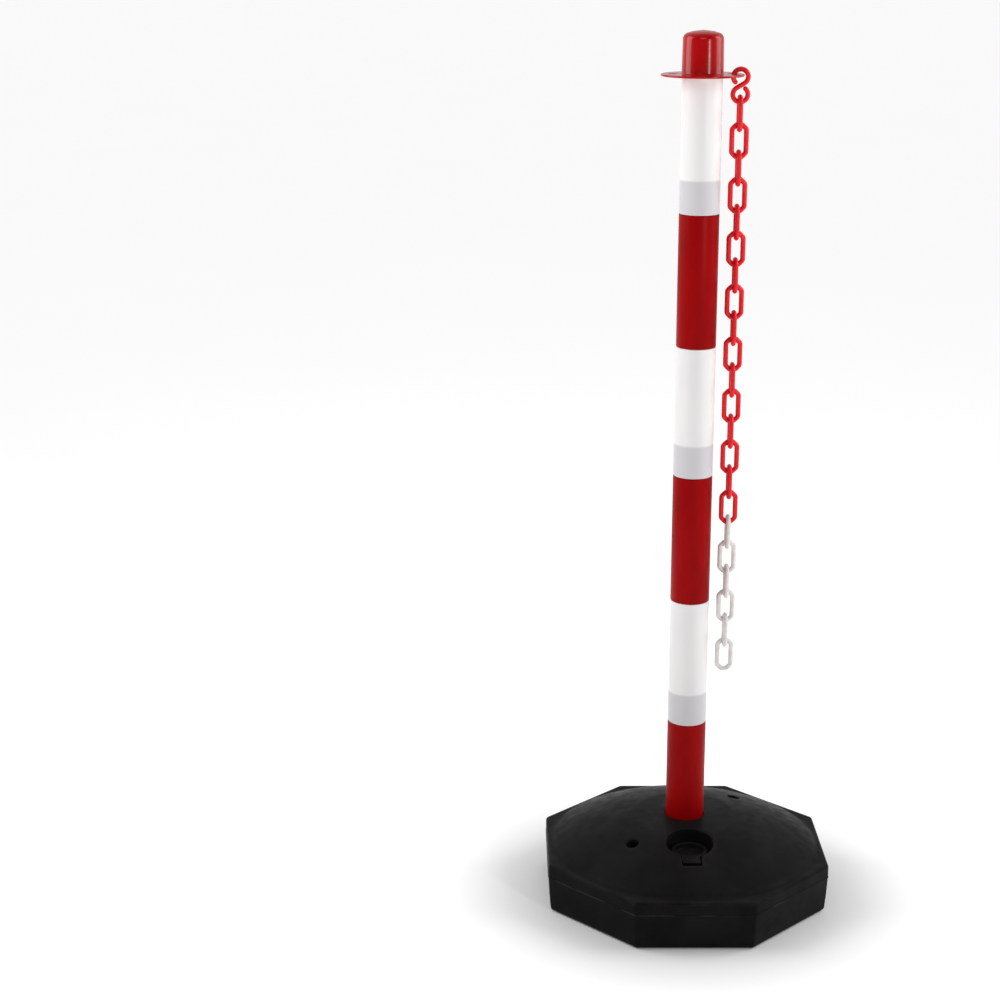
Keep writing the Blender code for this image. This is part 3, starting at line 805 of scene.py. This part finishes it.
def make_drain_plug(material):
    """Spool-shaped plug with a rolled rim and a small dimple in its end."""
    low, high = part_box("drain_plug")
    reach = high.y - HALF_FLATS
    inner = low.y - HALF_FLATS
    rim = high.x
    shank = DRAIN_RADIUS - GAP
    profile = filleted(
        [
            (0.0, inner, 0.0),
            (shank, inner, 1.0 * MM),
            (shank, reach - 3 * MM, 0.9 * MM),
            (rim, reach - 3 * MM, 0.8 * MM),
            (rim, reach, 1.0 * MM),
            (2.2 * MM, reach, 0.5 * MM),
            (1.6 * MM, reach - 1 * MM, 0.4 * MM),
            (0.0, reach - 1 * MM, 0.0),
        ],
        False,
    )
    mesh = smoothed(turned(profile, 64, False), "drain_stopper")
    place = (0.0, HALF_FLATS, PARTING_HEIGHT)
    turn = (-math.pi / 2, 0.0, 0.0)
    add_piece("drain_stopper", mesh, material, "drain_plug", "drain_plug", place, turn)


# ---------------------------------------------------------------- pole and cap

def segment_mesh(name):
    """One pole segment: rolled lower edge, rounded shoulder and a narrower spigot."""
    outer = TUBE_RADIUS
    bore = outer - TUBE_WALL
    spigot = bore - GAP
    shoulder = BAND_LENGTH - GAP
    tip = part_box("pole_segment_1")[1].z - POLE_START
    profile = filleted(
        [
            (outer, 0.0, 0.6 * MM),
            (outer, shoulder * 0.5, 0.0),
            (outer, shoulder, 0.7 * MM),
            (spigot, shoulder, 0.3 * MM),
            (spigot, tip, 0.8 * MM),
            (spigot - TUBE_WALL, tip, 0.4 * MM),
            (spigot - TUBE_WALL, shoulder - 2 * MM, 1.0 * MM),
            (bore, shoulder - 5 * MM, 1.0 * MM),
            (bore, 0.0, 0.4 * MM),
        ],
        True,
    )
    return smoothed(turned(profile, 128, True), name)


def make_pole(red, white):
    """Six identical segments, red and white in turn from the lowest up."""
    for number in range(1, 7):
        colour, material = ("red", red) if number % 2 else ("white", white)
        node = "pole_segment_%d" % number
        place = (0.0, 0.0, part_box(node)[0].z)
        mesh = segment_mesh("%s_%s" % (node, colour))
        name = "%s_tube_%d" % (colour, number)
        add_piece(name, mesh, material, "pole_%d" % number, node, place)


def make_cap(material):
    """Domed cap that rises a little to its middle, and its thin flange with four hook holes."""
    low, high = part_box("top_cap")
    height = high.z - low.z
    crown = height - 0.3 * MM
    outer = TUBE_RADIUS + 0.5 * MM
    bore = TUBE_RADIUS - TUBE_WALL
    rim = FLANGE_THICKNESS
    profile = filleted(
        [
            (0.0, height, 0.0),
            (1.6 * MM, height - 0.2 * MM, 1.0 * MM),
            (outer * 0.5, crown - 1.0 * MM, 12 * MM),
            (outer - 0.7 * MM, crown - 3.6 * MM, 7 * MM),
            (outer, rim, 1.4 * MM),
            (FLANGE_RADIUS, rim, 0.9 * MM),
            (FLANGE_RADIUS, 0.0, 0.9 * MM),
            (bore, 0.0, 0.5 * MM),
            (bore, CAP_BORE_DEPTH, 1.0 * MM),
            (0.0, CAP_BORE_DEPTH, 0.0),
        ],
        False,
        steps=10,
    )
    mesh = smoothed(turned(profile, 160, False), "flanged_cap")
    cap = add_piece("flanged_cap", mesh, material, "top_cap", "top_cap", (0.0, 0.0, low.z))
    hole_profile = filleted(
        [
            (0.0, -0.5 * MM, 0.0),
            (HOOK_HOLE_RADIUS + 1.0 * MM, -0.5 * MM, 0.0),
            (HOOK_HOLE_RADIUS, 0.5 * MM, 0.3 * MM),
            (HOOK_HOLE_RADIUS, rim - 0.5 * MM, 0.3 * MM),
            (HOOK_HOLE_RADIUS + 1.0 * MM, rim + 0.5 * MM, 0.0),
            (0.0, rim + 0.5 * MM, 0.0),
        ],
        False,
    )
    for index in range(4):
        hole = turned(hole_profile, 48, False)
        angle = math.pi / 2 * index
        place = Vector((math.cos(angle), math.sin(angle), 0.0)) * HOOK_HOLE_DISTANCE
        bmesh.ops.translate(hole, verts=hole.verts, vec=place + Vector((0.0, 0.0, low.z)))
        combine(cap, hole, "DIFFERENCE")


# ---------------------------------------------------------------- hook and chain

def joint_place(name):
    """Where a joint's axis is."""
    return Vector(next(joint["pos_m"] for joint in frame["joints"] if joint["name"] == name))


def make_hook(material):
    """S-hook: two open loops and the bar that crosses between them, with rounded tips."""
    low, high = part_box("s_hook")
    loop = HOOK_LOOP_RADIUS
    upper_tip = math.radians(225)
    lower_tip = math.radians(410)
    spacing = high.z - low.z - 2 * loop - HOOK_WIRE
    lean = math.acos(2 * loop / spacing)

    def arc(middle_height, start, end):
        count = 40
        angles = [start + (end - start) * step / count for step in range(count + 1)]
        return [Vector((loop * math.cos(a), 0.0, middle_height + loop * math.sin(a))) for a in angles]

    upper = arc(0.0, upper_tip, lean - math.pi / 2)
    lower = arc(-spacing, lean + math.pi / 2, lower_tip)
    bar = [upper[-1].lerp(lower[0], step / 8) for step in range(1, 8)]
    bm = swept(upper + bar + lower, Vector((0, 1, 0)), HOOK_WIRE / 2, False, 0.03)
    place = joint_place("hook_swing")
    add_piece("red_s_hook", smoothed(bm, "red_s_hook"), material, "hook", "s_hook", place)


def link_path(half_length, half_width, across):
    """Middle line of a link: a long octagon with soft corners."""
    chamfer = half_width * LINK_CHAMFER_SHARE
    across_at = (half_width - chamfer, half_width)
    up_at = (half_length, half_length - chamfer)
    right = list(zip(across_at, up_at))
    right += [(x, -y) for x, y in reversed(right)]
    corners = right + [(-x, -y) for x, y in right]
    outline = filleted([(x, y, LINK_BEND) for x, y in corners], True, steps=4)
    return [across * point.x + Vector((0, 0, point.y)) for point in outline]


def make_chain(red, white):
    """The links, each a round bar bent to a long octagon, alternately edge-on and face-on."""
    for number in range(1, LINK_COUNT + 1):
        node = "chain_link_%02d" % number
        low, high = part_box(node)
        edge_on = number % 2 == 1
        across = Vector((0, 1, 0)) if edge_on else Vector((1, 0, 0))
        plane_normal = Vector((1, 0, 0)) if edge_on else Vector((0, 1, 0))
        half_length = (high.z - low.z - LINK_WIRE) / 2
        half_width = ((high - low).dot(across) - LINK_WIRE) / 2
        colour, material = ("red", red) if number <= RED_LINK_COUNT else ("white", white)
        name = "%s_link_%02d" % (colour, number)
        path = link_path(half_length, half_width, across)
        mesh = smoothed(swept(path, plane_normal, LINK_WIRE / 2, True, 0.05), name)
        place = (low + high) / 2
        add_piece(name, mesh, material, "link_%02d" % number, node, place)


# ---------------------------------------------------------------- studio

def make_floor(material):
    """A wide floor just below the base's underside."""
    bm = bmesh.new()
    bmesh.ops.create_grid(bm, x_segments=8, y_segments=8, size=60.0)
    floor = bpy.data.objects.new("studio_floor", smoothed(bm, "studio_floor"))
    floor.data.materials.append(material)
    floor.location = (0.0, 0.0, -0.2 * MM)
    bpy.context.scene.collection.objects.link(floor)


def add_softbox(name, place, aim, width, height, watts):
    """A white rectangular light of a size in metres, turned towards a point."""
    light = bpy.data.lights.new(name, "AREA")
    light.shape = "RECTANGLE"
    light.size = width
    light.size_y = height
    light.energy = watts
    lamp = bpy.data.objects.new(name, light)
    lamp.location = Vector(place)
    lamp.rotation_euler = (Vector(aim) - Vector(place)).to_track_quat("-Z", "Y").to_euler()
    bpy.context.scene.collection.objects.link(lamp)


def make_studio():
    """White surroundings that light less from the front, with a softbox on each side and one above
    the front, all aimed at the top of the post, and a narrow strip that streaks the glossy cap."""
    world = bpy.data.worlds.new("white_studio")
    bpy.context.scene.world = world
    world.use_nodes = True
    tree = world.node_tree
    direction = add_node(tree, "ShaderNodeTexCoord").outputs["Generated"]
    depth = add_node(tree, "ShaderNodeSeparateXYZ", in_0=direction).outputs[1]
    strength = ramp(tree, depth, -0.75, 0.35, 0.1, 0.72)
    seen = add_node(tree, "ShaderNodeLightPath").outputs["Is Camera Ray"]
    strength = add_node(tree, "ShaderNodeMath", {"operation": "MAXIMUM"}, in_0=strength, in_1=seen).outputs[0]
    background = tree.nodes["Background"]
    background.inputs[0].default_value = (1.0, 1.0, 1.0, 1.0)
    tree.links.new(strength, background.inputs[1])
    post_top = Vector((0.0, 0.0, 0.85))
    add_softbox("left_softbox", (-1.2, 0.05, 1.25), post_top, 0.8, 0.9, 9.5)
    add_softbox("right_softbox", (1.2, 0.05, 1.25), post_top, 0.8, 0.9, 9.5)
    add_softbox("front_softbox", (-0.1, -0.85, 1.3), post_top, 0.5, 0.3, 0.9)
    add_softbox("front_strip", (0.8, -1.38, 0.82), post_top, 0.06, 0.4, 5.0)


def make_camera():
    """Stands before the post, a little to its left and just above its cap, and looks down without
    turning towards it, so that the front of the base stays level in the frame."""
    camera = bpy.data.cameras.new("camera")
    camera.sensor_width = 36.0
    camera.lens = 73.8
    camera.shift_y = -0.035
    looks_down = math.radians(14.73)
    eye = bpy.data.objects.new("camera", camera)
    eye.location = (-0.196, -2.014, 0.996)
    eye.rotation_euler = (math.pi / 2 - looks_down, 0.0, 0.0)
    bpy.context.scene.collection.objects.link(eye)
    bpy.context.scene.camera = eye


def main():
    """Builds every piece in its finish, then the floor and the lights."""
    make_camera()
    bpy.context.scene.view_settings.view_transform = "Standard"
    black = blow_moulded_polyethylene()
    red_tube = tube_plastic("red_polypropylene_tube", "#9c0003", "#8d0002", 0.38, 0.06)
    # d0cdd1 is painted shade over the spigot inside the white tube's lowest quarter
    white_tube = tube_plastic("white_polypropylene_tube", "#efedec", "#ebe9e9", 0.36, 0.25, "#d0cdd1")
    red_cap = tube_plastic("red_polypropylene_cap", "#b40006", "#a40005", 0.17, 0.28)
    red_chain = chain_plastic("red_polyethylene_chain", "#e81924", "#db131e", 0.32)
    white_chain = chain_plastic("white_polyethylene_chain", "#ebe7e3", "#dfdad7", 0.36)
    make_base(black)
    make_stopper(black)
    make_drain_plug(black)
    make_pole(red_tube, white_tube)
    make_cap(red_cap)
    make_hook(red_chain)
    make_chain(red_chain, white_chain)
    make_floor(painted_floor())
    make_studio()


main()
